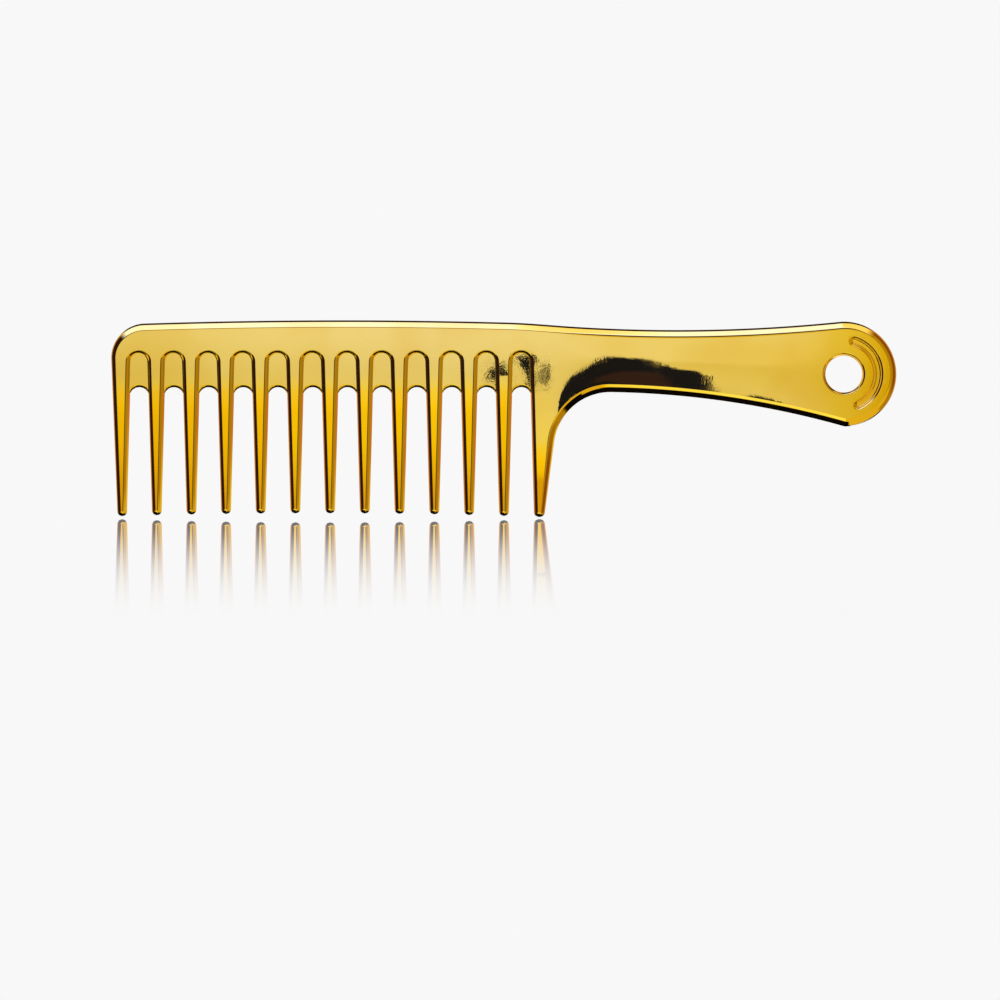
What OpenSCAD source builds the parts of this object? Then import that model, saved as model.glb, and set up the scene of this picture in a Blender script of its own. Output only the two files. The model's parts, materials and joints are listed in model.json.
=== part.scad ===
// Wide tooth comb, lying in the XZ plane with its teeth pointing down.
// X runs along the comb from its head to its hanging eye, Y through its thickness, Z up from
// the tip of the last tooth. The comb is one moulding, drawn here region by region: a spine,
// thirteen teeth, the thin arched webs between their roots, the heel that carries the last
// tooth, the handle and the hanging eye.

/* [Body] */
// Thickness between the two flat faces
thickness = 4.8; // [4.4:0.1:6]
// Width and depth of the chamfer along every edge
chamfer = 1.3; // [1:0.05:1.4]

/* [Head] */
// Height of the arched back edge at its crown
back_top = 58.95; // [57.5:0.05:60]
// Radius of the arched back edge
back_r = 1836; // [1500:10:2500]
// Place of the back edge's crown along the comb
back_x = -49.6; // [-60:0.5:-40]
// Radius of the corner over the first tooth
corner_r = 10.4; // [8:0.1:12]
// Place of the foot of the head's end edge, at floor level
end_foot_x = -115.8; // [-116.5:0.1:-115.4]
// Lean of the head's end edge, in degrees
end_lean = 2.2; // [0:0.1:3]

/* [Teeth] */
// Distance from one tooth to the next
pitch = 10.44; // [10.4:0.02:10.46]
// Height of the tooth roots, where the arched recesses spring
root_z = 46.5; // [45:0.25:48]
// Width of a gap between two roots
gap_root_w = 5.02; // [4.6:0.02:5.2]
// Width of a gap at floor level
gap_foot_w = 7.6; // [7:0.05:7.7]
// Length of a tooth's rounded end
tip_round = 1.45; // [1:0.05:1.6]
// Thickness of a tooth at its end
tip_thickness = 3; // [2.6:0.1:4]
// Chamfer of a tooth at its end
tip_chamfer = 1.1; // [0.8:0.05:1.2]
// Height at which the teeth start to thin
thin_z = 33.5; // [25:0.5:36]
// Rise of the middle tips over the last one
tip_bow = 1.05; // [0:0.05:1.5]

/* [Webs] */
// Height of the crown of a web's free edge
web_crown_z = 38.9; // [37:0.1:42]
// Radius of a web's free edge
web_edge_r = 3; // [2.9:0.05:3.5]

/* [Handle] */
// Lowest height of the handle's hollow upper edge
grip_top_z = 55.95; // [55:0.05:57]
// Place of that lowest point along the comb
grip_top_x = 52.5; // [50:0.5:54]
// Radius of the handle's upper edge
grip_top_r = 482.4; // [480:0.2:490]
// Highest point of the handle's hollow lower edge
grip_base_z = 37.45; // [37:0.05:38]
// Place of that highest point along the comb
grip_base_x = 27.9; // [27:0.1:29]
// Radius of the handle's lower edge
grip_base_r = 272.8; // [268:0.2:276]
// Place of the centre of the fillet behind the last tooth
heel_x = 32.35; // [31:0.05:33]
// Radius of the fillet behind the last tooth
heel_r = 17; // [16.5:0.1:17.5]
// Lean of the last tooth's outer side, in degrees
heel_lean = 7.5; // [6:0.1:8]

/* [Hanging eye] */
// Place of the eye's centre along the comb
eye_x = 101.95; // [101:0.05:103]
// Height of the eye's centre
eye_z = 42.78; // [42.7:0.01:42.82]
// Outer radius of the eye
eye_r = 15.66; // [15.64:0.01:15.8]
// Radius of the hanging hole
hole_r = 5.4; // [4:0.1:6]
// Radius at the middle of the crescent groove
groove_path_r = 10.2; // [9.8:0.1:10.6]
// Width of the crescent groove
groove_w = 3.3; // [2:0.1:3.4]
// Depth of the crescent groove
groove_depth = 0.7; // [0.3:0.05:0.9]
// Angle at which the crescent groove starts, in degrees
groove_start = -65; // [-75:1:-50]
// Angle at which the crescent groove ends, in degrees
groove_end = 73; // [50:1:80]

/* [Hidden] */
TEETH = 13;
GOLD = [0.93, 0.77, 0.38];
DEEP_GOLD = [0.95, 0.72, 0.12];
WEB_GOLD = [0.90, 0.76, 0.42];
EYE_GOLD = [0.85, 0.66, 0.12];
$fn = 96;
LONG_ARC_FN = 720;

half = thickness / 2;
land = half - chamfer;
tip_half = tip_thickness / 2;
// The middle of the gap after the first tooth, and the cuts that part the spine and the eye
first_gap_x = -109.17;
spine_end_x = first_gap_x + 11.5 * pitch;
eye_start_x = eye_x - 10.5;
// What cutting tools reach past a face
reach = 0.5;
// A height over the whole comb
above = back_top + 1;
// Where the row of tips bows most, and how far along the comb it falls back to the floor
bow_x = first_gap_x + 5.27 * pitch;
bow_half = 65.6;

back_c = [back_x, back_top - back_r];
grip_top_c = [grip_top_x, grip_top_z + grip_top_r];
grip_base_c = [grip_base_x, grip_base_z - grip_base_r];
heel_c = [heel_x, grip_base_c.y + sqrt((grip_base_r - heel_r)^2 - (heel_x - grip_base_x)^2)];
eye_c = [eye_x, eye_z];
// The fillet turns into the last tooth's outer side at this height
heel_z = heel_c.y + heel_r * sin(heel_lean);

function direction(angle) = [cos(angle), sin(angle)];
function bearing(v) = atan2(v.y, v.x);
function mix(a, b, t) = a + (b - a) * t;
function arc(centre, r, from, to, steps) =
  [for (k = [0:steps]) centre + r * direction(mix(from, to, k / steps))];
// The crossing of two circles that lies to the right of the way from the first centre to the second
function crossing(c1, r1, c2, r2) =
  let (s = norm(c2 - c1), u = (c2 - c1) / s, a = (s^2 + r1^2 - r2^2) / (2 * s))
    c1 + a * u + sqrt(r1^2 - a^2) * [u.y, -u.x];

// Edges of the comb at an inset d into the material
function end_edge_x(z, d) = end_foot_x - z * tan(end_lean) + d / cos(end_lean);
function back_edge_z(x, d) = back_c.y + sqrt((back_r - d)^2 - (x - back_c.x)^2);
function grip_top_edge_z(x, d) = grip_top_c.y - sqrt((grip_top_r + d)^2 - (x - grip_top_c.x)^2);
function grip_base_edge_z(x, d) = grip_base_c.y + sqrt((grip_base_r + d)^2 - (x - grip_base_c.x)^2);
function heel_edge_x(z, d) =
  heel_c.x - (heel_r + d) / cos(heel_lean) + (z - heel_c.y) * tan(heel_lean);

// The corner circle touches the end edge and the back edge from inside
corner_foot = [end_edge_x(0, corner_r), 0];
corner_way = [-sin(end_lean), cos(end_lean)];
corner_from = corner_foot - back_c;
corner_side = corner_from * corner_way;
corner_c = corner_foot + corner_way
  * (sqrt(corner_side^2 - corner_from * corner_from + (back_r - corner_r)^2) - corner_side);

function gap_x(i) = first_gap_x + (i - 1) * pitch;
function gap_half(z) = mix(gap_foot_w, gap_root_w, z / root_z) / 2;
function tip_z(x) = tip_bow * (1 - ((x - bow_x) / bow_half)^2);
function tooth_name(i) = str("tooth_", i < 10 ? "0" : "", i);
function web_name(i) = str("root_web_", i < 10 ? "0" : "", i);

// A closed solid through rings that all have the same number of points
module loft(rings) {
  n = len(rings[0]);
  last = len(rings) - 1;
  sides = [for (k = [0:last - 1]) for (j = [0:n - 1])
    let (a = k * n + j, b = k * n + (j + 1) % n) [a, b, b + n, a + n]];
  first_cap = [for (j = [n - 1:-1:0]) j];
  last_cap = [for (j = [0:n - 1]) last * n + j];
  polyhedron([for (ring = rings) each ring], concat([first_cap], sides, [last_cap]));
}

// A flat plate with chamfered rims and no hollow side. outline(d) gives its points at inset d,
// anticlockwise.
module plate(outline) {
  levels = [[-half, chamfer], [-land, 0], [land, 0], [half, chamfer]];
  loft([for (level = levels) [for (p = outline(level[1])) [p.x, level[0], p.y]]]);
}

spine_outline = function (d)
  let (touch = bearing(corner_c - back_c), touch_x = back_c.x + (back_r - d) * cos(touch), steps = 24)
    concat(
      [[end_edge_x(root_z, d), root_z], [spine_end_x, root_z]],
      [for (k = [0:steps - 1])
        let (x = mix(spine_end_x, touch_x, k / steps)) [x, back_edge_z(x, d)]],
      arc(corner_c, corner_r - d, touch, 180 + end_lean, 12));

eye_outline = function (d)
  let (low = crossing(grip_base_c, grip_base_r + d, eye_c, eye_r - d),
    high = crossing(eye_c, eye_r - d, grip_top_c, grip_top_r + d))
    concat(
      [[eye_start_x, grip_base_edge_z(eye_start_x, d)]],
      arc(eye_c, eye_r - d, bearing(low - eye_c), bearing(high - eye_c), 36),
      [[eye_start_x, grip_top_edge_z(eye_start_x, d)]]);

// A round cut through the comb, which widens at both faces by the chamfer
module chamfered_cut(centre, r) {
  translate([centre.x, 0, centre.y]) rotate([90, 0, 0]) {
    cylinder(r = r, h = thickness + reach, center = true);
    for (side = [0, 1]) {
      mirror([0, 0, side]) translate([0, 0, land])
        cylinder(r1 = r, r2 = r + chamfer + reach, h = chamfer + reach);
    }
  }
}

// A flat piece with square rims, drawn by its points in the XZ plane
module slab(points) {
  rotate([90, 0, 0]) linear_extrude(height = thickness, center = true) polygon(points);
}

module spine() {
  color(GOLD) difference() {
    plate(spine_outline);
    chamfered_cut(grip_top_c, grip_top_r, $fn = LONG_ARC_FN);
    for (i = [1:TEETH - 1]) {
      chamfered_cut([gap_x(i), root_z], gap_root_w / 2);
    }
  }
}

// The eight-sided section of a tooth at height z, from its sides' places at the middle of
// its thickness. The whole section shrinks by s about its own middle.
function tooth_section(z, left, right, h, edge, s) =
  let (x = (left + right) / 2, w = (right - left) / 2 * s, face = w - edge * s, side = (h - edge) * s)
    [[x - face, -h * s, z], [x - w, -side, z], [x - w, side, z], [x - face, h * s, z],
     [x + face, h * s, z], [x + w, side, z], [x + w, -side, z], [x + face, -h * s, z]];

module tooth(i) {
  last = i == TEETH;
  thins_at = last ? heel_z : thin_z;
  left = function (z) i == 1 ? end_edge_x(z, 0) : gap_x(i - 1) + gap_half(z);
  right = function (z) last ? heel_edge_x(z, 0) : gap_x(i) - gap_half(z);
  section = function (z, drop, s)
    let (t = min(1, z / thins_at))
      tooth_section(z - drop, left(z), right(z), mix(tip_half, half, t), mix(tip_chamfer, chamfer, t), s);
  round_z = (last ? 0 : tip_z((left(0) + right(0)) / 2)) + tip_round;
  heights = last ? [heel_z] : [root_z, thin_z];
  color(DEEP_GOLD) loft(concat(
    [for (z = heights) section(z, 0, 1)],
    [for (a = [0:20:80]) section(round_z, tip_round * sin(a), cos(a))],
    [section(round_z, tip_round, cos(86))]));
}

// The corner block between the spine, the handle and the last tooth
module heel() {
  side_x = gap_x(TEETH - 1);
  low = [side_x + gap_half(heel_z), heel_z];
  high = [side_x + gap_half(root_z), root_z];
  side_lean = bearing(high - low) - 90;
  color(GOLD) difference() {
    slab([low, [heel_x, heel_z], [heel_x, above], [spine_end_x, above], [spine_end_x, root_z], high]);
    chamfered_cut(grip_top_c, grip_top_r, $fn = LONG_ARC_FN);
    chamfered_cut(heel_c, heel_r);
    for (side = [0, 1]) {
      mirror([0, side, 0]) translate([low.x, 0, low.y]) rotate([0, -side_lean, 0])
        linear_extrude(height = 2 * (root_z - heel_z), center = true)
          polygon([[-reach, reach - land], [-reach, -half - reach], [chamfer + reach, -half - reach]]);
    }
  }
}

// The thin panel between two roots: round on top, straight beside the teeth, hollow below
module root_web(i) {
  edge_z = web_crown_z - web_edge_r;
  color(WEB_GOLD) translate([gap_x(i), 0, 0]) rotate([90, 0, 0])
    linear_extrude(height = 2 * land, center = true) difference() {
      union() {
        translate([0, root_z]) circle(r = gap_root_w / 2);
        polygon([[-gap_half(edge_z), edge_z], [gap_half(edge_z), edge_z],
          [gap_half(root_z), root_z], [-gap_half(root_z), root_z]]);
      }
      translate([0, edge_z]) circle(r = web_edge_r);
    }
}

module handle() {
  color(GOLD) difference() {
    slab([[heel_x, heel_z], [eye_start_x, heel_z], [eye_start_x, above], [heel_x, above]]);
    chamfered_cut(grip_top_c, grip_top_r, $fn = LONG_ARC_FN);
    chamfered_cut(grip_base_c, grip_base_r, $fn = LONG_ARC_FN);
  }
}

// A crescent cut with a round section, sunk in the front face
module groove() {
  r = ((groove_w / 2)^2 + groove_depth^2) / (2 * groove_depth);
  translate([eye_c.x, -half + groove_depth - r, eye_c.y]) rotate([90, 0, 0])
    rotate([0, 0, groove_start])
      rotate_extrude(angle = groove_end - groove_start) translate([groove_path_r, 0]) circle(r = r);
}

module hanging_eye() {
  color(EYE_GOLD) difference() {
    plate(eye_outline);
    chamfered_cut(eye_c, hole_r);
    groove();
    mirror([0, 1, 0]) groove();
  }
}

spine();
for (i = [1:TEETH]) {
  tooth(i);
}
for (i = [1:TEETH - 1]) {
  root_web(i);
}
heel();
handle();
hanging_eye();
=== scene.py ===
import json
import math

import bpy
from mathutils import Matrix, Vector
from mathutils.geometry import delaunay_2d_cdt


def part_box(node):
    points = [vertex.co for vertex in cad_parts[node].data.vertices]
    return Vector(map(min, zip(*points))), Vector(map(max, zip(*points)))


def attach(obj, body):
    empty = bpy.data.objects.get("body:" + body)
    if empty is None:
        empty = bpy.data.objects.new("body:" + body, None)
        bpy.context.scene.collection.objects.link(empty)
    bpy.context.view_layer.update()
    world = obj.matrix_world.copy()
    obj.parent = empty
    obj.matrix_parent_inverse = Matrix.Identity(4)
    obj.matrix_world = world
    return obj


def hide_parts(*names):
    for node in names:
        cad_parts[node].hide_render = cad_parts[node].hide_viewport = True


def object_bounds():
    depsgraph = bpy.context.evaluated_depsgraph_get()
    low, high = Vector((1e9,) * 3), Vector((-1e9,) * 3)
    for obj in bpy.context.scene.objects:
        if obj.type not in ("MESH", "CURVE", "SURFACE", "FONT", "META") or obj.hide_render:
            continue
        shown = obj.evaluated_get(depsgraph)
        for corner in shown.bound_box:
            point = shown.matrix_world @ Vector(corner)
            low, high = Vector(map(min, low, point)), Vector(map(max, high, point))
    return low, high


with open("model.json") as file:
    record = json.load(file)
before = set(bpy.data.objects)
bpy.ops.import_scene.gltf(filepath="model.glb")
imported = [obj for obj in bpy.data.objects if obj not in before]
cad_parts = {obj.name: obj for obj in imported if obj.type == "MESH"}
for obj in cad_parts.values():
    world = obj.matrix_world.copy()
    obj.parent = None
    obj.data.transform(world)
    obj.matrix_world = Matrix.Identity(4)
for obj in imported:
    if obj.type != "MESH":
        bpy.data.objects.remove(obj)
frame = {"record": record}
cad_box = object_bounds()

# The comb stands in the XZ plane on its tooth tips. X runs from its head to its hanging eye, Y through
# its thickness and Z up. Shapes are worked out here in millimetres, as (x, z) points of the outline
# and a height above the middle plane, and a mesh is scaled to metres when it is made.
MM = 0.001


def box_mm(node):
    low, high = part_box(node)
    return low / MM, high / MM


# ---- Places that the frame gives ----
HALF = cad_box[1].y / MM
TEETH = 13
GAPS = TEETH - 1
GAP_X = [sum(corner.x for corner in box_mm(f"root_web_{i:02d}")) / 2 for i in range(1, GAPS + 1)]
ROOT_Z = box_mm("tooth_01")[1].z
SPINE_END_X = box_mm("spine")[1].x
HEEL_X = box_mm("handle")[0].x
EYE_START_X = box_mm("hanging_eye")[0].x
HEEL_Z = box_mm("heel")[0].z
HOLE = next(m for m in frame["record"]["mounts"] if m["name"] == "hanging_hole")
EYE_C = (HOLE["pos_m"][0] / MM, HOLE["pos_m"][2] / MM)
HOLE_R = HOLE["dims"]["r_mm"]
EYE_R = cad_box[1].x / MM - EYE_C[0]

# ---- Outline, as on the CAD model ----
BACK_C, BACK_R = (-49.6, -1777.05), 1836.0
CORNER_R = 10.4
END_FOOT_X, END_LEAN = -115.8, math.radians(2.2)
GRIP_TOP_C, GRIP_TOP_R = (52.5, 538.35), 482.4
GRIP_BASE_C, GRIP_BASE_R = (27.9, -235.35), 272.8
HEEL_R, HEEL_LEAN = 17.0, math.radians(7.5)
GAP_ROOT_W, GAP_FOOT_W = 5.02, 7.6
TIP_ROUND, TIP_BOW, BOW_HALF = 1.45, 1.05, 65.6
BOW_X = GAP_X[0] + 5.27 * (GAP_X[1] - GAP_X[0])
# How far the back edge and the grip edge melt into each other where they meet
KNEE_BLEND = 0.38

# ---- Thickness ----
TIP_HALF, LAST_TIP_HALF = 1.5, 1.95
THIN_FROM_Z, THIN_EASE = 43.0, 12.0
CROWN, CROWN_FROM_X, CROWN_FULL_X, CROWN_GONE_X = 0.22, 16.0, 40.0, 99.0

# ---- Webs ----
WEB_HALF, WEB_FILLET = 1.1, 0.45
WEB_WALL_INSET = 0.39
WEB_EDGE_C_Z, WEB_EDGE_R, WEB_EDGE_ROUND = 35.9, 3.0, 0.85

# ---- Groove in the hanging eye ----
GROOVE_PATH_R, GROOVE_HALF_W, GROOVE_DEPTH, GROOVE_LIP = 10.2, 1.4, 0.8, 0.15
GROOVE_START, GROOVE_END = math.radians(-65), math.radians(73)
# How much faster than a full-width bowl the sides fall, which leaves a flat floor in the middle
GROOVE_SIDES = 1.35

# ---- Rim widths ----
END_RIM_W, BACK_RIM_W, GRIP_RIM_W, BASE_RIM_W = 1.6, 2.3, 2.6, 2.35
BULB_RIM_W, HOLE_RIM_W = 1.95, 1.0
GAP_RIM_ROOT_W, GAP_RIM_TIP_W, ARCH_RIM_W = 1.36, 1.28, 1.08
HEEL_RIM_W, HEEL_RIM_TIP_W = 2.0, 1.2


# ---- Small maths ----
def mix(a, b, t):
    return a + (b - a) * t


def smooth(t):
    t = min(1.0, max(0.0, t))
    return t * t * (3 - 2 * t)


def soft_min(a, b, reach):
    near = max(reach - abs(a - b), 0.0) / reach
    return min(a, b) - near * near * reach / 4


def polar(centre, r, angle):
    return (centre[0] + r * math.cos(angle), centre[1] + r * math.sin(angle))


def bearing(a, b):
    return math.atan2(b[1] - a[1], b[0] - a[0])


def crossing(c1, r1, c2, r2):
    """The crossing of two circles to the right of the way from the first centre to the second."""
    s = math.dist(c1, c2)
    ux, uz = (c2[0] - c1[0]) / s, (c2[1] - c1[1]) / s
    a = (s * s + r1 * r1 - r2 * r2) / (2 * s)
    b = math.sqrt(r1 * r1 - a * a)
    return (c1[0] + a * ux + b * uz, c1[1] + a * uz - b * ux)


def spread(count):
    return [k / count for k in range(count + 1)]


# ---- Edges of the outline, at an inset d into the material ----
def end_edge_x(z, d):
    return END_FOOT_X - z * math.tan(END_LEAN) + d / math.cos(END_LEAN)


def back_edge_z(x, d):
    return BACK_C[1] + math.sqrt((BACK_R - d) ** 2 - (x - BACK_C[0]) ** 2)


def grip_top_edge_z(x, d):
    return GRIP_TOP_C[1] - math.sqrt((GRIP_TOP_R + d) ** 2 - (x - GRIP_TOP_C[0]) ** 2)


def grip_base_edge_z(x, d):
    return GRIP_BASE_C[1] + math.sqrt((GRIP_BASE_R + d) ** 2 - (x - GRIP_BASE_C[0]) ** 2)


def top_edge_z(x, d):
    grip = grip_top_edge_z(x, d)
    return grip if x > HEEL_X else soft_min(back_edge_z(x, d), grip, KNEE_BLEND)


def gap_half(z):
    return mix(GAP_FOOT_W, GAP_ROOT_W, z / ROOT_Z) / 2


HEEL_C = (HEEL_X, GRIP_BASE_C[1] + math.sqrt((GRIP_BASE_R - HEEL_R) ** 2 - (HEEL_X - GRIP_BASE_C[0]) ** 2))


def heel_edge_x(z):
    return HEEL_C[0] - HEEL_R / math.cos(HEEL_LEAN) + (z - HEEL_C[1]) * math.tan(HEEL_LEAN)


def corner_centre():
    """The corner circle touches the end edge and the back edge from inside."""
    foot = (end_edge_x(0, CORNER_R), 0.0)
    way = (-math.sin(END_LEAN), math.cos(END_LEAN))
    fx, fz = foot[0] - BACK_C[0], foot[1] - BACK_C[1]
    side = fx * way[0] + fz * way[1]
    s = math.sqrt(side ** 2 - fx * fx - fz * fz + (BACK_R - CORNER_R) ** 2) - side
    return (foot[0] + way[0] * s, foot[1] + way[1] * s)


CORNER_C = corner_centre()


# ---- Thickness of the faces: flat on the head, thinner down the teeth, crowned on the handle ----
def tooth_drop(z, from_z, tip_half):
    """What a tooth has lost from its half thickness at height z, easing in below from_z."""
    below = from_z - z
    if below <= 0:
        return 0.0
    slope = (HALF - tip_half) / (from_z - THIN_EASE / 2)
    return slope * (below - THIN_EASE / 2 if below > THIN_EASE else below * below / (2 * THIN_EASE))


def crown_drop(x, z):
    share = smooth((x - CROWN_FROM_X) / (CROWN_FULL_X - CROWN_FROM_X))
    share *= smooth((CROWN_GONE_X - x) / (CROWN_GONE_X - CROWN_FULL_X) * 2)
    if share <= 0:
        return 0.0
    low, high = grip_base_edge_z(x, 0), grip_top_edge_z(x, 0)
    t = (2 * z - low - high) / (high - low)
    return share * CROWN * t * t


def half_at(x, z):
    return HALF - crown_drop(x, z)


def slopes(height, x, z):
    step = 0.01
    return ((height(x + step, z) - height(x - step, z)) / (2 * step),
            (height(x, z + step) - height(x, z - step)) / (2 * step))


# ---- Sections ----
def rounded_path(points, radii, steps=5):
    """(point, direction) pairs along a path whose inner corners are rounded."""
    legs = [math.atan2(b[1] - a[1], b[0] - a[0]) for a, b in zip(points, points[1:])]
    path = [(points[0], legs[0])]
    for k, r in enumerate(radii):
        corner, first, second = points[k + 1], legs[k], legs[k + 1]
        reach = r * math.tan(abs(second - first) / 2)
        side = math.copysign(math.pi / 2, second - first)
        start = polar(corner, -reach, first)
        centre = polar(start, r, first + side)
        for s in spread(steps):
            turn = mix(first, second, s)
            path.append((polar(centre, r, turn - side), turn))
    path.append((points[-1], legs[-1]))
    return path


def rim_section(points, radii):
    """A rim from the middle plane (0, 0) through (inset, height) points to the face (1, 1), with its
    corners rounded, as (u, v, du, dv)."""
    path = rounded_path([(0, 0), *points, (points[-1][0] + 3, HALF)], radii)[:-1]
    width = path[-1][0][0]
    return [(p[0] / width, p[1] / HALF, math.cos(a) / width, math.sin(a) / HALF) for p, a in path]


def bevel(width, wall_inset, wall_height, low_round, high_round):
    """A wall and one straight bevel, which the upper rounding ends at the width."""
    corner = width
    for _ in range(20):
        lean = math.atan2(HALF - wall_height, corner - wall_inset)
        corner = width - high_round * math.tan(lean / 2)
    middle = (mix(wall_inset, corner, 0.5), mix(wall_height, HALF, 0.5))
    return rim_section([(wall_inset, wall_height), middle, (corner, HALF)], [low_round, 0.1, high_round])


BACK_SECTION = bevel(BACK_RIM_W, 0.55, 1.1, 0.2, 0.6)
GRIP_SECTION = bevel(GRIP_RIM_W, 0.55, 1.1, 0.2, 1.6)
HEEL_SECTION = bevel(BASE_RIM_W, 0.46, 1.0, 0.35, 1.0)
BASE_SECTION = rim_section([(0.46, 1.0), (1.45, 2.22), (BASE_RIM_W, HALF)], [0.35, 0.3, 0.5])
END_SECTION = bevel(END_RIM_W, 0.4, 1.4, 0.25, 0.5)
GAP_SECTION = rim_section([(0.42, 1.8), (1.04, 2.32), (GAP_RIM_ROOT_W, HALF)], [0.12, 0.2, 0.2])
HOLE_SECTION = bevel(HOLE_RIM_W, 0.12, 1.75, 0.2, 0.6)
BULB_SECTION = rim_section([(0.35, 1.1), (1.2, 2.03), (BULB_RIM_W, HALF)], [0.35, 1.0, 0.3])
BULB_FOOT_SECTION = rim_section([(0.2, 1.92), (1.2, 2.2), (BASE_RIM_W, HALF)], [0.2, 0.8, 0.5])


class Rim:
    """A run of the outline. point(t, d) is its place at an inset d, out(t, d) the way out of the
    material there, width(t) how wide its bevel is, and section(t) the bevel's shape."""

    def __init__(self, point, out, width, section, count):
        self.rows = []
        for t in spread(count):
            w = width(t)
            row = []
            for u, v, du, dv in section(t) if callable(section) else section:
                d = u * w
                (x, z), (ox, oz) = point(t, d), out(t, d)
                h = half_at(x, z)
                hx, hz = slopes(half_at, x, z)
                side, up = dv * h, du * w
                n = Vector((ox * side - hx * v * up, -up, oz * side - hz * v * up)).normalized()
                row.append((Vector((x, -v * h, z)), n))
            self.rows.append(row)

    def face_edge(self):
        return [(row[-1][0].x, row[-1][0].z) for row in self.rows]


def graph_rim(edge_z, x_from, x_to, sign, width, section, count):
    """A rim along an edge given as a height over x; sign is 1 where the material lies below it."""
    def out(t, d):
        x = mix(x_from(d), x_to(d), t)
        slope = (edge_z(x + 0.05, d) - edge_z(x - 0.05, d)) / 0.1
        size = math.hypot(slope, 1)
        return (-slope / size * sign, sign / size)

    def point(t, d):
        x = mix(x_from(d), x_to(d), t)
        return (x, edge_z(x, d))
    return Rim(point, out, width, section, count)


def arc_rim(centre, r, sign, start, end, width, section, count):
    """A rim along a circle; sign is 1 where the material lies inside it."""
    def angle(t, d):
        return mix(start(d), end(d), t)
    return Rim(lambda t, d: polar(centre, r - sign * d, angle(t, d)),
               lambda t, d: (sign * math.cos(angle(t, d)), sign * math.sin(angle(t, d))),
               width, section, count)


def fixed(value):
    return lambda *_: value


def between(first, second):
    """A section that melts from one to another along its rim."""
    return lambda t: [tuple(mix(a, b, smooth(t)) for a, b in zip(p, q)) for p, q in zip(first, second)]


# ---- Meshes ----
def mirrored(v):
    return Vector((v.x, -v.y, v.z))


class Shell:
    """One closed piece, gathered face by face, with a shading normal for every face corner."""

    def __init__(self):
        self.index, self.points, self.faces, self.normals = {}, [], [], []

    def vertex(self, p):
        key = (round(p.x, 4), round(p.y, 4), round(p.z, 4))
        if key not in self.index:
            self.index[key] = len(self.points)
            self.points.append(p * MM)
        return self.index[key]

    def face(self, corners):
        """Adds one face from (point, normal) corners, turned to look the way its normals do."""
        ids, normals = [], []
        for p, n in corners:
            i = self.vertex(p)
            if i not in ids:
                ids.append(i)
                normals.append(n)
        if len(ids) < 3:
            return
        pts = [self.points[i] for i in ids]
        area = Vector((0, 0, 0))
        for a, b in zip(pts, pts[1:] + pts[:1]):
            area += a.cross(b)
        if area.dot(sum(normals, Vector((0, 0, 0)))) < 0:
            ids.reverse()
            normals.reverse()
        self.faces.append(ids)
        self.normals.extend(normals)

    def both(self, corners):
        """Adds a face of the front and its mirror image on the back."""
        self.face(corners)
        self.face([(mirrored(p), mirrored(n)) for p, n in corners])

    def grid(self, rows):
        for first, second in zip(rows, rows[1:]):
            for k in range(len(first) - 1):
                self.both([first[k], first[k + 1], second[k + 1], second[k]])

    def cap(self, front, normal):
        """A flat face through the comb's thickness, over a run of front points."""
        n = Vector(normal).normalized()
        self.face([(p, n) for p in front] + [(mirrored(p), n) for p in reversed(front)])

    def build(self, name, material):
        mesh = bpy.data.meshes.new(name)
        mesh.from_pydata([tuple(p) for p in self.points], [], self.faces)
        mesh.polygons.foreach_set("use_smooth", [True] * len(mesh.polygons))
        mesh.normals_split_custom_set([tuple(n) for n in self.normals])
        mesh.materials.append(material)
        mesh.update()
        piece = bpy.data.objects.new(name, mesh)
        bpy.context.scene.collection.objects.link(piece)
        return piece


def face_corner(x, z, height=half_at):
    hx, hz = slopes(height, x, z)
    return Vector((x, -height(x, z), z)), Vector((-hx, -1, -hz)).normalized()


def inside(polygon, x, z):
    hit = False
    for (ax, az), (bx, bz) in zip(polygon, polygon[1:] + polygon[:1]):
        if (az > z) != (bz > z) and x < ax + (z - az) * (bx - ax) / (bz - az):
            hit = not hit
    return hit


def fill_face(shell, outline, holes=(), spacing=None):
    """Triangles over the flat or crowned part of a face, inside its outline and outside its holes."""
    loops = [outline, *holes]
    points, edges = [], []
    for loop in loops:
        start = len(points)
        points += loop
        edges += [(start + k, start + (k + 1) % len(loop)) for k in range(len(loop))]
    if spacing:
        xs, zs = [p[0] for p in outline], [p[1] for p in outline]
        for a in range(1, int((max(xs) - min(xs)) / spacing) + 1):
            for b in range(1, int((max(zs) - min(zs)) / spacing) + 1):
                x, z = min(xs) + (a - 0.37) * spacing, min(zs) + (b - 0.41) * spacing
                if inside(outline, x, z) and not any(inside(hole, x, z) for hole in holes):
                    points.append((x, z))
    found, _, faces, origin, _, _ = delaunay_2d_cdt([Vector(p) for p in points], edges, [], 1, 1e-7, True)
    places = [points[o[0]] if o else tuple(v) for v, o in zip(found, origin)]
    for face in faces:
        x = sum(places[k][0] for k in face) / len(face)
        z = sum(places[k][1] for k in face) / len(face)
        if inside(outline, x, z) and not any(inside(hole, x, z) for hole in holes):
            shell.both([face_corner(*places[k]) for k in face])


def cut_caps(shell, before, middle, after, turn):
    """Closes the piece along a cut, from one rim's last section over corner points to the next rim.
    turn is 1 where the outline runs anticlockwise, and -1 where it runs clockwise."""
    runs = [[p for p, _ in before]]
    way = None
    for p in [face_corner(*m)[0] for m in middle] + [None]:
        target = p if p is not None else after[-1][0]
        last = runs[-1][-1]
        new_way = math.atan2(target.z - last.z, target.x - last.x)
        if way is not None and abs(math.remainder(new_way - way, math.tau)) > 0.01:
            runs.append([last])
        way = new_way
        if p is not None:
            runs[-1].append(p)
    runs[-1] += [q for q, _ in reversed(after)]
    for run in runs:
        along = (run[-1] - run[0]) * turn
        shell.cap(run, (along.z, 0, -along.x))


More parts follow.
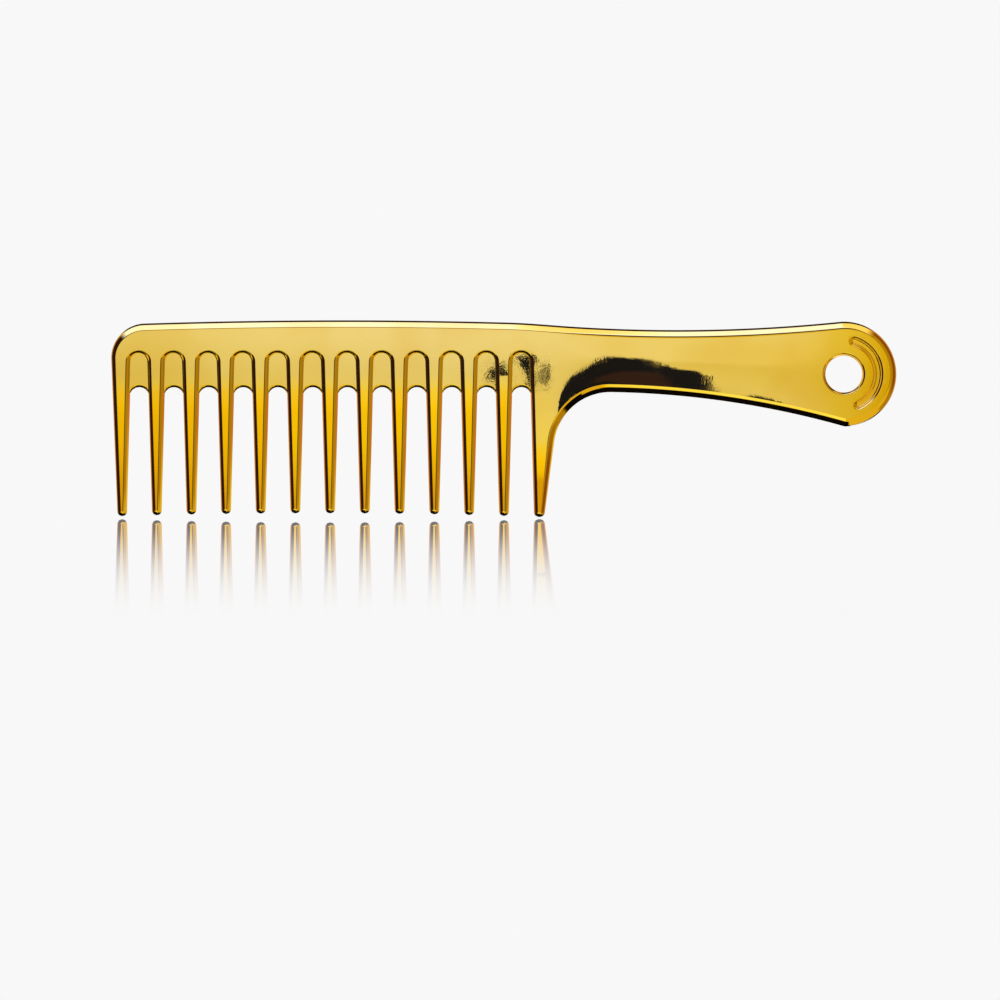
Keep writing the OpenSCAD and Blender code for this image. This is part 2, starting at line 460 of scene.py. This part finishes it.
def plate(shell, boundary, holes=(), spacing=None):
    """A plate whose outline is made of rims, with lists of corner points where it is cut."""
    outline, cuts = [], []
    for k, item in enumerate(boundary):
        before, after = boundary[k - 1], boundary[(k + 1) % len(boundary)]
        if isinstance(item, Rim):
            if isinstance(before, Rim):
                item.rows[0] = [(p, n) for (p, _), (_, n) in zip(before.rows[-1], item.rows[0])]
            shell.grid(item.rows)
            outline += item.face_edge()[1 if isinstance(before, Rim) else 0:]
        else:
            cuts.append((before.rows[-1], item, after.rows[0]))
            outline += item
    area = sum(a[0] * b[1] - b[0] * a[1] for a, b in zip(outline, outline[1:] + outline[:1]))
    turn = math.copysign(1, area)
    for before, middle, after in cuts:
        cut_caps(shell, before, middle, after, turn)
    for hole in holes:
        shell.grid(hole.rows)
    fill_face(shell, outline, [hole.face_edge()[:-1] for hole in holes], spacing)


# ---- Spine ----
def top_share(x):
    """How far the top bevel has changed from the head's to the handle's at x."""
    return (x - SPINE_END_X) / (HEEL_X - SPINE_END_X)


def top_rim_w(x):
    return mix(BACK_RIM_W, GRIP_RIM_W, smooth(top_share(x)))


def back_rim(x_from, x_to, count):
    section = between(BACK_SECTION, GRIP_SECTION)
    return graph_rim(top_edge_z, fixed(x_from), fixed(x_to), 1, lambda t: top_rim_w(mix(x_from, x_to, t)),
                     lambda t: section(top_share(mix(x_from, x_to, t))), count)


def arch_rim(x):
    return arc_rim((x, ROOT_Z), GAP_ROOT_W / 2, -1, fixed(math.pi), fixed(0),
                   lambda t: mix(GAP_RIM_ROOT_W, ARCH_RIM_W, smooth(min(t, 1 - t) * 2)), GAP_SECTION, 36)


def reversed_rim(rim):
    rim.rows.reverse()
    return rim


def make_spine():
    shell = Shell()
    touch = bearing(BACK_C, CORNER_C)
    side_end = math.pi + END_LEAN

    def end_point(t, d):
        z = mix(ROOT_Z, CORNER_C[1] + (CORNER_R - d) * math.sin(side_end), t)
        return (end_edge_x(z, d), z)
    end_out = fixed((-math.cos(END_LEAN), -math.sin(END_LEAN)))
    end_rim = Rim(end_point, end_out, fixed(END_RIM_W), END_SECTION, 2)
    corner_rim = arc_rim(CORNER_C, CORNER_R, 1, fixed(side_end), fixed(touch),
                         lambda t: mix(END_RIM_W, BACK_RIM_W, smooth(t)),
                         between(END_SECTION, BACK_SECTION), 40)
    top_rim = graph_rim(top_edge_z, lambda d: BACK_C[0] + (BACK_R - d) * math.cos(touch), fixed(SPINE_END_X),
                        1, fixed(BACK_RIM_W), BACK_SECTION, 150)
    boundary = [end_rim, corner_rim, top_rim, [(SPINE_END_X, ROOT_Z)]]
    for x in reversed(GAP_X):
        boundary += [reversed_rim(arch_rim(x)), []]
    plate(shell, boundary)
    return shell


# ---- Teeth ----
def tip_z(x):
    return TIP_BOW * (1 - ((x - BOW_X) / BOW_HALF) ** 2)


def make_tooth(i):
    shell = Shell()
    first, last = i == 1, i == TEETH
    top = HEEL_Z if last else ROOT_Z

    def drop_at(z):
        return tooth_drop(z, HEEL_Z, LAST_TIP_HALF) if last else tooth_drop(z, THIN_FROM_Z, TIP_HALF)

    def left(z):
        return end_edge_x(z, 0) if first else GAP_X[i - 2] + gap_half(z)

    def right(z):
        return heel_edge_x(z) if last else GAP_X[i - 1] - gap_half(z)

    def gap_rim_w(z):
        return mix(GAP_RIM_TIP_W, GAP_RIM_ROOT_W, z / ROOT_Z)

    def heel_rim_w(z):
        return mix(HEEL_RIM_TIP_W, HEEL_RIM_W, z / HEEL_Z)

    def end_rim_w(z):
        return mix(GAP_RIM_TIP_W, END_RIM_W, z / ROOT_Z)

    def side(z, edge, sign, width, section, straight):
        lean = (edge(z + 0.1) - edge(z - 0.1)) / 0.2
        shown = lean if straight else lean * smooth((ROOT_Z - z) / 5)
        size = math.hypot(1, lean)
        out = Vector((sign, 0, -sign * shown)).normalized()
        h = HALF - drop_at(z)
        hz = (drop_at(z - 0.05) - drop_at(z + 0.05)) / 0.1
        w = width(z)
        corners = []
        for u, v, du, dv in section:
            n = out * (dv * h) + Vector((0, -1, -hz * v)) * (du * w)
            corners.append((Vector((edge(z) - sign * u * w * size, -v * h, z)), n.normalized()))
        return corners

    def row(z):
        left_w, left_section = (end_rim_w, END_SECTION) if first else (gap_rim_w, GAP_SECTION)
        right_w, right_section = (heel_rim_w, HEEL_SECTION) if last else (gap_rim_w, GAP_SECTION)
        right_side = side(z, right, 1, right_w, right_section, last)
        return side(z, left, -1, left_w, left_section, first) + right_side[::-1]

    round_z = (0 if last else tip_z((left(0) + right(0)) / 2)) + TIP_ROUND
    rows = [row(mix(top, round_z, t)) for t in spread(56)]
    foot = rows[-1]
    middle = (foot[0][0].x + foot[-1][0].x) / 2
    for k in range(1, 11):
        a = math.radians(8.6 * k)
        s, down = math.cos(a), math.sin(a)
        rows.append([(Vector((middle + (p.x - middle) * s, p.y * s, round_z - TIP_ROUND * down)),
                      (n * s + Vector((0, 0, -down))).normalized()) for p, n in foot])
    shell.grid(rows)
    shell.cap([p for p, _ in rows[0]], (0, 0, 1))
    shell.cap([p for p, _ in rows[-1]], (0, 0, -1))
    return shell


# ---- Webs between the roots ----
def web_section():
    """(inset from the wall, rise, turn) across a web's floor, from inside the wall to its middle."""
    contact = math.radians(52)
    rows = []
    for k in range(9):
        turn = mix(math.radians(80), 0, k / 8)
        inset = WEB_FILLET * (math.sin(contact) - math.sin(turn))
        rows.append((inset, WEB_FILLET * (1 - math.cos(turn)), turn))
    return rows


def make_web(i):
    shell = Shell()
    middle = GAP_X[i - 1]
    section = web_section()

    def edge_z(x):
        return WEB_EDGE_C_Z + math.sqrt(max(WEB_EDGE_R ** 2 - x * x, 0))

    def corner(x, z, way, rise, turn, bend):
        out = Vector((-x, 0, WEB_EDGE_C_Z - edge_z(x))).normalized()
        across, up = WEB_HALF * math.sin(bend), WEB_EDGE_ROUND * math.cos(bend)
        n = out * across + Vector((way[0], 0, way[1])) * (up * math.sin(turn))
        n += Vector((0, -up * math.cos(turn), 0))
        return Vector((middle + x, -(WEB_HALF + rise) * math.cos(bend), z)), n.normalized()

    def side_row(sign, bend, t):
        """Across the floor beside a straight wall: bend rounds the free edge, and t runs up from there."""
        wall = gap_half(mix(37.5, ROOT_Z, t)) + WEB_WALL_INSET
        floor_from = section[-1][0]
        rows = section + [(mix(floor_from, wall, s), 0.0, 0.0) for s in spread(5)[1:]]
        row = []
        for inset, rise, turn in rows:
            x = wall - inset
            lift = WEB_EDGE_ROUND * (1 - math.sin(bend)) / max((edge_z(x) - WEB_EDGE_C_Z) / WEB_EDGE_R, 0.7)
            z = mix(edge_z(x) + lift, ROOT_Z, t)
            row.append(corner(sign * x, z, (-sign, 0), rise, turn, bend))
        return row

    def arch_row(angle):
        wall = GAP_ROOT_W / 2 + WEB_WALL_INSET
        floor_from = section[-1][0]
        rows = section + [(mix(floor_from, wall, s), 0.0, 0.0) for s in spread(5)[1:]]
        ax, az = math.cos(angle), math.sin(angle)
        return [corner((wall - inset) * ax, ROOT_Z + (wall - inset) * az, (-ax, -az), rise, turn, 0)
                for inset, rise, turn in rows]

    bends = [(math.radians(mix(90, 0, k / 9)), 0.0) for k in range(10)]
    rises = [(0.0, t) for t in spread(12)[1:]]
    left_rows = [side_row(-1, bend, t) for bend, t in bends + rises]
    arch_rows = [arch_row(mix(math.pi, 0, t)) for t in spread(28)]
    right_rows = [side_row(1, bend, t) for bend, t in reversed(bends + rises)]
    arch_rows[0] = left_rows[-1]
    arch_rows[-1] = right_rows[0]
    rows = left_rows + arch_rows[1:-1] + right_rows
    shell.grid(rows)
    for first, second in zip(rows, rows[1:]):
        a, b = first[0][0], second[0][0]
        n = Vector((a.z - b.z, 0, b.x - a.x)).normalized()
        shell.face([(a, n), (b, n), (mirrored(b), n), (mirrored(a), n)])
    return shell


# ---- Heel and handle ----
def base_rim(x_from, x_to, width, count):
    return graph_rim(grip_base_edge_z, x_from, x_to, -1, width, BASE_SECTION, count)


def column(x, count=24):
    """Points up the middle of a cut across the handle, from its lower bevel to its upper one."""
    low, high = grip_base_edge_z(x, BASE_RIM_W), grip_top_edge_z(x, GRIP_RIM_W)
    return [(x, mix(low, high, t)) for t in spread(count)[1:-1]]


def make_heel():
    shell = Shell()
    gap = GAP_X[-1]

    def gap_point(t, d):
        z = mix(ROOT_Z, HEEL_Z, t)
        return (gap + gap_half(z) + d, z)

    def gap_out(t, d):
        lean = (GAP_FOOT_W - GAP_ROOT_W) / 2 / ROOT_Z * smooth(t * (ROOT_Z - HEEL_Z) / 5)
        size = math.hypot(1, lean)
        return (-1 / size, -lean / size)

    def gap_rim_w(t):
        return mix(GAP_RIM_TIP_W, GAP_RIM_ROOT_W, mix(ROOT_Z, HEEL_Z, t) / ROOT_Z)

    def fillet_start(d):
        return math.pi - math.asin((HEEL_Z - HEEL_C[1]) / (HEEL_R + d))

    gap_rim = Rim(gap_point, gap_out, gap_rim_w, GAP_SECTION, 24)
    fillet = arc_rim(HEEL_C, HEEL_R, -1, fillet_start, fixed(math.pi / 2),
                     lambda t: mix(HEEL_RIM_W, BASE_RIM_W, smooth(t)),
                     lambda t: between(HEEL_SECTION, BASE_SECTION)(t * 2 - 1), 72)
    top_rim = back_rim(HEEL_X, SPINE_END_X, 40)
    plate(shell, [gap_rim, [], fillet, column(HEEL_X), top_rim, [(SPINE_END_X, ROOT_Z)]], spacing=0.9)
    return shell


def make_handle():
    shell = Shell()
    low = base_rim(fixed(HEEL_X), fixed(EYE_START_X), fixed(BASE_RIM_W), 110)
    high = back_rim(EYE_START_X, HEEL_X, 110)
    plate(shell, [low, column(EYE_START_X), high, column(HEEL_X)[::-1]], spacing=0.9)
    return shell


# ---- Hanging eye ----
def groove_rows():
    """The groove's outline and its bowl: rows from the lip at the face in to the path's middle."""
    lip = GROOVE_HALF_W + GROOVE_LIP
    section = []
    step = 0.01

    def fall(g):
        return GROOVE_DEPTH * smooth((lip - g) / lip * GROOVE_SIDES)

    for k in range(15):
        g = lip * (1 - k / 14)
        section.append((g, fall(g), (fall(g - step) - fall(g + step)) / (2 * step)))
    ways = [(GROOVE_END, GROOVE_END + a * math.pi) for a in spread(16)]
    ways += [(a, a + math.pi) for a in (mix(GROOVE_END, GROOVE_START, t) for t in spread(80)[1:-1])]
    ways += [(GROOVE_START, GROOVE_START + math.pi + a * math.pi) for a in spread(16)]
    ways += [(a, a) for a in (mix(GROOVE_START, GROOVE_END, t) for t in spread(80)[1:-1])]
    rows = []
    for place, way in ways + ways[:1]:
        path = polar(EYE_C, GROOVE_PATH_R, place)
        row = []
        for g, depth, slope in section:
            x, z = polar(path, g, way)
            n = Vector((-math.cos(way) * slope, -1, -math.sin(way) * slope)).normalized()
            row.append((Vector((x, depth - HALF, z)), n))
        rows.append(row)
    return rows


class Groove:
    """The crescent groove, which a face leaves out as a hole and which closes itself."""

    def __init__(self):
        self.rows = groove_rows()

    def face_edge(self):
        return [(row[0][0].x, row[0][0].z) for row in self.rows]


def make_eye():
    shell = Shell()

    def low_corner(d):
        return crossing(GRIP_BASE_C, GRIP_BASE_R + d, EYE_C, EYE_R - d)

    def high_corner(d):
        return crossing(EYE_C, EYE_R - d, GRIP_TOP_C, GRIP_TOP_R + d)

    def bulb_w(t):
        return mix(mix(BASE_RIM_W, BULB_RIM_W, smooth(t * 2)), GRIP_RIM_W, smooth(t * 4 - 3))

    def bulb_section(t):
        foot = between(BASE_SECTION, BULB_FOOT_SECTION)(t * 24)
        side = between(foot, BULB_SECTION)(t * 2.2)
        return between(side, GRIP_SECTION)(t * 4 - 3)

    low = base_rim(fixed(EYE_START_X), lambda d: low_corner(d)[0], fixed(BASE_RIM_W), 36)
    bulb = arc_rim(EYE_C, EYE_R, 1, lambda d: bearing(EYE_C, low_corner(d)),
                   lambda d: bearing(EYE_C, high_corner(d)), bulb_w, bulb_section, 144)
    high = graph_rim(grip_top_edge_z, lambda d: high_corner(d)[0], fixed(EYE_START_X), 1,
                     fixed(GRIP_RIM_W), GRIP_SECTION, 36)
    hole = arc_rim(EYE_C, HOLE_R, -1, fixed(0), fixed(math.tau), fixed(HOLE_RIM_W), HOLE_SECTION, 96)
    plate(shell, [low, bulb, high, column(EYE_START_X)[::-1]], [hole, Groove()], spacing=1.5)
    return shell


# ---- Materials ----
class Nodes:
    """A short way to write a node tree."""

    def __init__(self, tree):
        self.tree = tree
        tree.nodes.clear()

    def add(self, kind, inputs=(), **settings):
        node = self.tree.nodes.new(kind)
        for name, value in settings.items():
            setattr(node, name, value)
        for key, value in dict(inputs).items():
            if isinstance(value, bpy.types.NodeSocket):
                self.tree.links.new(value, node.inputs[key])
            else:
                node.inputs[key].default_value = value
        return node

    def math(self, operation, a, b=0.0, clamp=False):
        return self.add("ShaderNodeMath", {0: a, 1: b}, operation=operation, use_clamp=clamp).outputs[0]

    def ease(self, value, low, high, to_low=0.0, to_high=1.0):
        """Maps value smoothly from low..high to to_low..to_high."""
        ends = {"Value": value, "From Min": low, "From Max": high, "To Min": to_low, "To Max": to_high}
        return self.add("ShaderNodeMapRange", ends, interpolation_type="SMOOTHSTEP").outputs[0]

    def ramp(self, value, low, high, stops):
        """A colour for each value between low and high, from (value, colour) stops."""
        share = self.add("ShaderNodeMapRange", {"Value": value, "From Min": low, "From Max": high})
        node = self.add("ShaderNodeValToRGB", {"Fac": share.outputs[0]})
        elements = node.color_ramp.elements
        while len(elements) < len(stops):
            elements.new(0.5)
        for element, (place, colour) in zip(elements, stops):
            element.position = (place - low) / (high - low)
        for element, (place, colour) in zip(elements, stops):
            element.color = (*colour, 1)
        return node.outputs["Color"]

    def degrees(self, operation, a, b=0.0):
        return self.math("MULTIPLY", self.math(operation, a, b), math.degrees(1))

    def mix(self, share, a, b, blend="MIX"):
        node = self.add("ShaderNodeMix", {"Factor": share}, data_type="RGBA", blend_type=blend)
        for key, value in ((6, a), (7, b)):
            if isinstance(value, bpy.types.NodeSocket):
                self.tree.links.new(value, node.inputs[key])
            else:
                node.inputs[key].default_value = (*value, 1)
        return node.outputs[2]


def gold_material():
    """Polished gold plating over moulded plastic, with faint waves, haze and patches of deeper gold."""
    material = bpy.data.materials.new("gold_plating")
    material.use_nodes = True
    n = Nodes(material.node_tree)
    place = n.add("ShaderNodeTexCoord").outputs["Object"]
    haze = n.add("ShaderNodeTexNoise", {"Vector": place, "Scale": 160, "Detail": 5}).outputs["Fac"]
    patch = n.add("ShaderNodeTexNoise", {"Vector": place, "Scale": 45, "Detail": 2}).outputs["Fac"]
    peel = n.add("ShaderNodeTexNoise", {"Vector": place, "Scale": 260, "Detail": 3}).outputs["Fac"]
    grain = n.add("ShaderNodeTexNoise", {"Vector": place, "Scale": 2200, "Detail": 2}).outputs["Fac"]
    tint = n.mix(n.ease(patch, 0.35, 0.65), (0.92, 0.655, 0.2), (0.955, 0.72, 0.265))
    roughness = n.ease(haze, 0.4, 0.85, 0.008, 0.035)
    waves = n.add("ShaderNodeBump", {"Height": peel, "Strength": 0.3, "Distance": 0.000006})
    fine = n.add("ShaderNodeBump", {"Height": grain, "Strength": 0.3, "Distance": 0.0000012,
                                    "Normal": waves.outputs[0]})
    shader = n.add("ShaderNodeBsdfPrincipled", {"Base Color": tint, "Roughness": roughness, "Metallic": 1.0,
                                                "Normal": fine.outputs[0]})
    n.add("ShaderNodeOutputMaterial", {"Surface": shader.outputs[0]})
    return material


# ---- Studio ----
PALE = 0.939
CAMERA_X, CAMERA_AWAY, CAMERA_Z, FRAME_WIDTH = 0.045, 1.26, 0.030, 0.2994
FRAME_MIDDLE = (-0.00074, 0.0051)


def add_camera():
    data = bpy.data.cameras.new("camera")
    data.sensor_width = 36
    data.lens = data.sensor_width * CAMERA_AWAY / FRAME_WIDTH
    data.clip_start, data.clip_end = 0.05, 50
    camera = bpy.data.objects.new("camera", data)
    camera.location = (CAMERA_X, -CAMERA_AWAY, CAMERA_Z)
    aim = Vector((FRAME_MIDDLE[0], 0, FRAME_MIDDLE[1])) - camera.location
    camera.rotation_mode = "QUATERNION"
    camera.rotation_quaternion = aim.to_track_quat("-Z", "Y")
    bpy.context.scene.collection.objects.link(camera)
    bpy.context.scene.camera = camera


BLACK = (0.004, 0.003, 0.003)
DARK = (0.025, 0.012, 0.012)
DIM = (0.035, 0.02, 0.012)
OLIVE = (0.11, 0.09, 0.05)
GILT = (0.80, 0.58, 0.04)
BROWN = (0.456, 0.275, 0.01)
RUST = (0.26, 0.09, 0.01)
ORANGE = (0.6, 0.23, 0.03)
STRIP = (1.1, 1.05, 0.26)
YOLK = (0.8, 0.62, 0.1)
BOX = (1.25, 1.42, 2.15)
BACKDROP = (PALE, PALE, PALE)
SHADOW, SHADOW_HEART = (0.011, 0.012, 0.027), (0.034, 0.02, 0.03)

# The four quarters around the way to the front: (degrees away from it, colour). They aren't a plain
# studio: each colour was set so that a bevel with that slope takes the photograph's colour from the front.
RIGHT_QUARTER = [(11, GILT), (13, OLIVE), (38, OLIVE), (45, GILT), (53, GILT), (58, BROWN), (90, BROWN),
                 (100, RUST), (110, RUST), (118, GILT), (140, GILT), (146, ORANGE), (180, ORANGE)]
UPPER_QUARTER = [(8, YOLK), (24, YOLK), (32, DIM), (50, DIM), (58, BOX), (108, BOX), (116, DIM), (180, DIM)]
LEFT_QUARTER = [(12, OLIVE), (24, DARK), (112, DARK), (120, GILT), (142, GILT), (148, ORANGE), (180, ORANGE)]
LOWER_QUARTER = [(8, STRIP), (30, STRIP), (42, BLACK), (180, BLACK)]

# Straight ahead of the head and teeth: (degrees above the horizon, colour); then ahead of the handle
HEAD_AHEAD = [(-9, (0.57, 0.345, 0.003)), (-3.9, (0.77, 0.46, 0.002)), (-3.5, (0.89, 0.62, 0.002)),
              (-3.1, (0.97, 0.73, 0.004)), (-2, (1.04, 0.82, 0.02)), (-0.9, (0.98, 0.84, 0.12)),
              (-0.3, (0.92, 0.86, 0.33)), (0.6, (0.83, 0.81, 0.56)), (1.1, (0.91, 0.91, 0.79))]
GRIP_AHEAD = [(-9, STRIP), (-7, (0.80, 0.74, 0.42)), (-5, (0.80, 0.74, 0.42)), (-2, (0.85, 0.82, 0.6)),
              (0.6, (0.83, 0.81, 0.56)), (1.1, (0.91, 0.91, 0.79)), (6, (0.91, 0.91, 0.79)), (8, YOLK)]
# What those two and the black below are dulled by: (degrees to the right, colour)
TINT = [(-7.25, (0.92, 0.86, 0.55)), (-5, (0.99, 0.98, 0.85)), (-3, (1, 1, 1)), (-1.5, (1, 0.99, 0.86)),
        (0.65, (0.97, 0.92, 0.58)), (1.95, (0.93, 0.82, 0.32)), (2.65, (0.9, 0.76, 0.13)),
        (3.1, (0.86, 0.66, 0.02))]
# What the box overhead is dulled by: (degrees to the right, colour)
BOX_TINT = [(3, (1, 1, 1)), (9, (1, 0.93, 0.55)), (25, (0.95, 0.7, 0.2))]


def add_world():
    """What the plating mirrors: pale ahead, a white box overhead, black below, dark on the left, warm
    on the right and pale behind. The camera itself sees an even pale backdrop. It is made for the view
    from the front; from high above, the flat faces mirror the black and look black."""
    world = bpy.data.worlds.new("studio")
    bpy.context.scene.world = world
    world.use_nodes = True
    n = Nodes(world.node_tree)
    way = n.add("ShaderNodeSeparateXYZ", {0: n.add("ShaderNodeTexCoord").outputs["Generated"]})
    x, y, z = (way.outputs[k] for k in range(3))
    forward = n.math("MULTIPLY", y, -1.0)
    turn = n.degrees("ARCTAN2", x, forward)
    rise = n.degrees("ARCSINE", z)
    away = n.degrees("ARCCOSINE", forward)
    round_about = n.degrees("ARCTAN2", z, x)

    tint = n.ramp(turn, -10, 10, TINT)
    head, grip = (n.ramp(rise, -20, 20, stops) for stops in (HEAD_AHEAD, GRIP_AHEAD))
    ahead = n.mix(n.ease(turn, -1.4, -1.15), head, grip)
    ahead = n.mix(1.0, ahead, tint, "MULTIPLY")
    ahead = grip_shadow(n, turn, rise, ahead)
    quarters = (RIGHT_QUARTER, UPPER_QUARTER, LEFT_QUARTER, LOWER_QUARTER)
    right, upper, left, lower = (n.ramp(away, 0, 180, stops) for stops in quarters)
    lower = n.mix(1.0, lower, tint, "MULTIPLY")
    upper = n.mix(1.0, upper, n.ramp(turn, -30, 30, BOX_TINT), "MULTIPLY")
    around = n.mix(n.ease(round_about, -156, -146), left, lower)
    glow = n.mix(n.ease(away, 64, 74), GILT, BROWN)
    right = n.mix(n.ease(round_about, -30, -20), glow, right)
    past_lower = n.math("SUBTRACT", round_about, n.ease(away, 66, 78, -84, -43))
    around = n.mix(n.ease(past_lower, 0, 5), around, right)
    around = n.mix(n.ease(round_about, 50, 62), around, upper)
    around = n.mix(n.ease(round_about, 130, 145), around, left)
    lit = n.mix(n.ease(away, 9.0, 11.5), ahead, around)
    lit = n.mix(n.ease(away, 160, 168), lit, BACKDROP)
    shown = n.mix(n.add("ShaderNodeLightPath").outputs["Is Camera Ray"], lit, BACKDROP)
    light = n.add("ShaderNodeBackground", {"Color": shown, "Strength": 1.0})
    n.add("ShaderNodeOutputWorld", {"Surface": light.outputs[0]})


# The top of the dark shape ahead of the handle, chosen after the photograph: (turn, rise)
SHADOW_TOP = [(-1, -1.0), (-0.84, 0.1), (-0.68, 1.05), (-0.49, 1.35), (-0.16, 1.24), (0.03, 0.96),
              (0.17, 0.0), (0.31, -0.4), (0.51, -0.45), (0.62, -1.0), (0.66, -2.6), (1, -3)]


def grip_shadow(n, turn, rise, ahead):
    """Adds a dark, feathered shape ahead of the handle, with a few ragged bits ahead of the last gaps."""
    def rough(across, up):
        places = {0: n.math("MULTIPLY", turn, across), 1: n.math("MULTIPLY", rise, up)}
        place = n.add("ShaderNodeCombineXYZ", places)
        noise = n.add("ShaderNodeTexNoise", {"Vector": place.outputs[0], "Scale": 1.0, "Detail": 3})
        return n.math("SUBTRACT", noise.outputs["Fac"], 0.5)

    def within(value, low, high, soft):
        past_low = n.ease(value, low - soft, low + soft)
        return n.math("MULTIPLY", past_low, n.ease(value, high - soft, high + soft, 1.0, 0.0))

    share = n.math("MULTIPLY", n.math("ADD", turn, 1.0), 0.5)
    node = n.add("ShaderNodeFloatCurve", {"Value": share})
    curve = node.mapping.curves[0]
    places = [((at + 1) / 2, (height + 4) / 6) for at, height in SHADOW_TOP]
    while len(curve.points) < len(places):
        curve.points.new(0.5, 0.5)
    for point, place in zip(curve.points, places):
        point.location = place
        point.handle_type = "VECTOR"
    node.mapping.update()
    top = n.math("SUBTRACT", n.math("MULTIPLY", node.outputs[0], 6.0), 4.0)
    over = n.math("SUBTRACT", n.math("SUBTRACT", rise, top), n.math("MULTIPLY", rough(34, 1.5), 1.3))
    slant = n.math("SUBTRACT", turn, n.math("MULTIPLY", rise, 0.087))
    tail = n.math("SUBTRACT", turn, n.math("MULTIPLY", rise, 0.02))
    sides = n.math("MULTIPLY", n.ease(tail, -1.27, -1.2), n.ease(slant, 0.71, 0.75, 1.0, 0.0))
    shape = n.math("MULTIPLY", n.ease(over, -0.06, 0.06, 1.0, 0.0), sides)
    foot = n.math("SUBTRACT", rise, n.ease(turn, -1.25, -0.85, -1.0, -8.0))
    shape = n.math("MULTIPLY", shape, n.ease(foot, 0.0, 0.8))
    heart = n.math("MULTIPLY", within(turn, -0.45, 0.0, 0.08), within(rise, -4.5, -1.1, 0.3))
    ahead = n.mix(shape, ahead, n.mix(heart, SHADOW, SHADOW_HEART))
    ragged = n.math("ADD", rough(5, 3), n.math("MULTIPLY", rough(11, 5), 0.16))
    bits = n.math("MULTIPLY", within(turn, -2.3, -1.42, 0.02), within(rise, 0.38, 0.84, 0.03))
    return n.mix(n.math("MULTIPLY", bits, n.ease(ragged, 0.0, 0.03)), ahead, SHADOW)


def add_floor():
    """A pale floor. Only a strip of it in front of the comb is polished, for the teeth's reflection, and
    the polish fades towards the camera."""
    size = 8.0
    mesh = bpy.data.meshes.new("floor")
    corners = [(-size, -size, 0), (size, -size, 0), (size, size, 0), (-size, size, 0)]
    mesh.from_pydata(corners, [], [(0, 1, 2, 3)])
    floor = bpy.data.objects.new("floor", mesh)
    bpy.context.scene.collection.objects.link(floor)
    floor.location.z = -0.0003
    floor.visible_glossy = False
    floor.visible_diffuse = False
    material = bpy.data.materials.new("pale_floor")
    material.use_nodes = True
    n = Nodes(material.node_tree)
    geometry = n.add("ShaderNodeNewGeometry")
    place = n.add("ShaderNodeSeparateXYZ", {0: geometry.outputs["Position"]}).outputs
    fade = n.ease(place[1], -0.64, -0.08, 0.0, 0.82)
    fade = n.math("MULTIPLY", fade, n.ease(place[1], 0.005, 0.015, 1.0, 0.0))
    fade = n.math("MULTIPLY", fade, n.ease(n.math("ABSOLUTE", place[0]), 0.13, 0.15, 1.0, 0.0))
    pale = n.add("ShaderNodeEmission", {"Color": (PALE, PALE, PALE, 1)})
    gloss = n.add("ShaderNodeBsdfGlossy", {"Color": (1, 1, 1, 1), "Roughness": 0.0})
    glancing = n.add("ShaderNodeLayerWeight", {"Blend": 0.25}).outputs["Fresnel"]
    share = n.math("MULTIPLY", fade, n.ease(glancing, 0.4, 0.75))
    top = n.add("ShaderNodeMixShader", {0: share, 1: pale.outputs[0], 2: gloss.outputs[0]})
    clear = n.add("ShaderNodeBsdfTransparent")
    sides = {0: geometry.outputs["Backfacing"], 1: top.outputs[0], 2: clear.outputs[0]}
    both = n.add("ShaderNodeMixShader", sides)
    n.add("ShaderNodeOutputMaterial", {"Surface": both.outputs[0]})
    mesh.materials.append(material)


# ---- The comb ----
def place_piece(shell, node, material):
    piece = shell.build(f"plated_{node}", material)
    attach(piece, "root")
    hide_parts(node)


def make_comb():
    gold = gold_material()
    place_piece(make_spine(), "spine", gold)
    for i in range(1, TEETH + 1):
        place_piece(make_tooth(i), f"tooth_{i:02d}", gold)
    for i in range(1, GAPS + 1):
        place_piece(make_web(i), f"root_web_{i:02d}", gold)
    place_piece(make_heel(), "heel", gold)
    place_piece(make_handle(), "handle", gold)
    place_piece(make_eye(), "hanging_eye", gold)


add_camera()
add_world()
add_floor()
make_comb()
bpy.context.scene.view_settings.view_transform = "Standard"
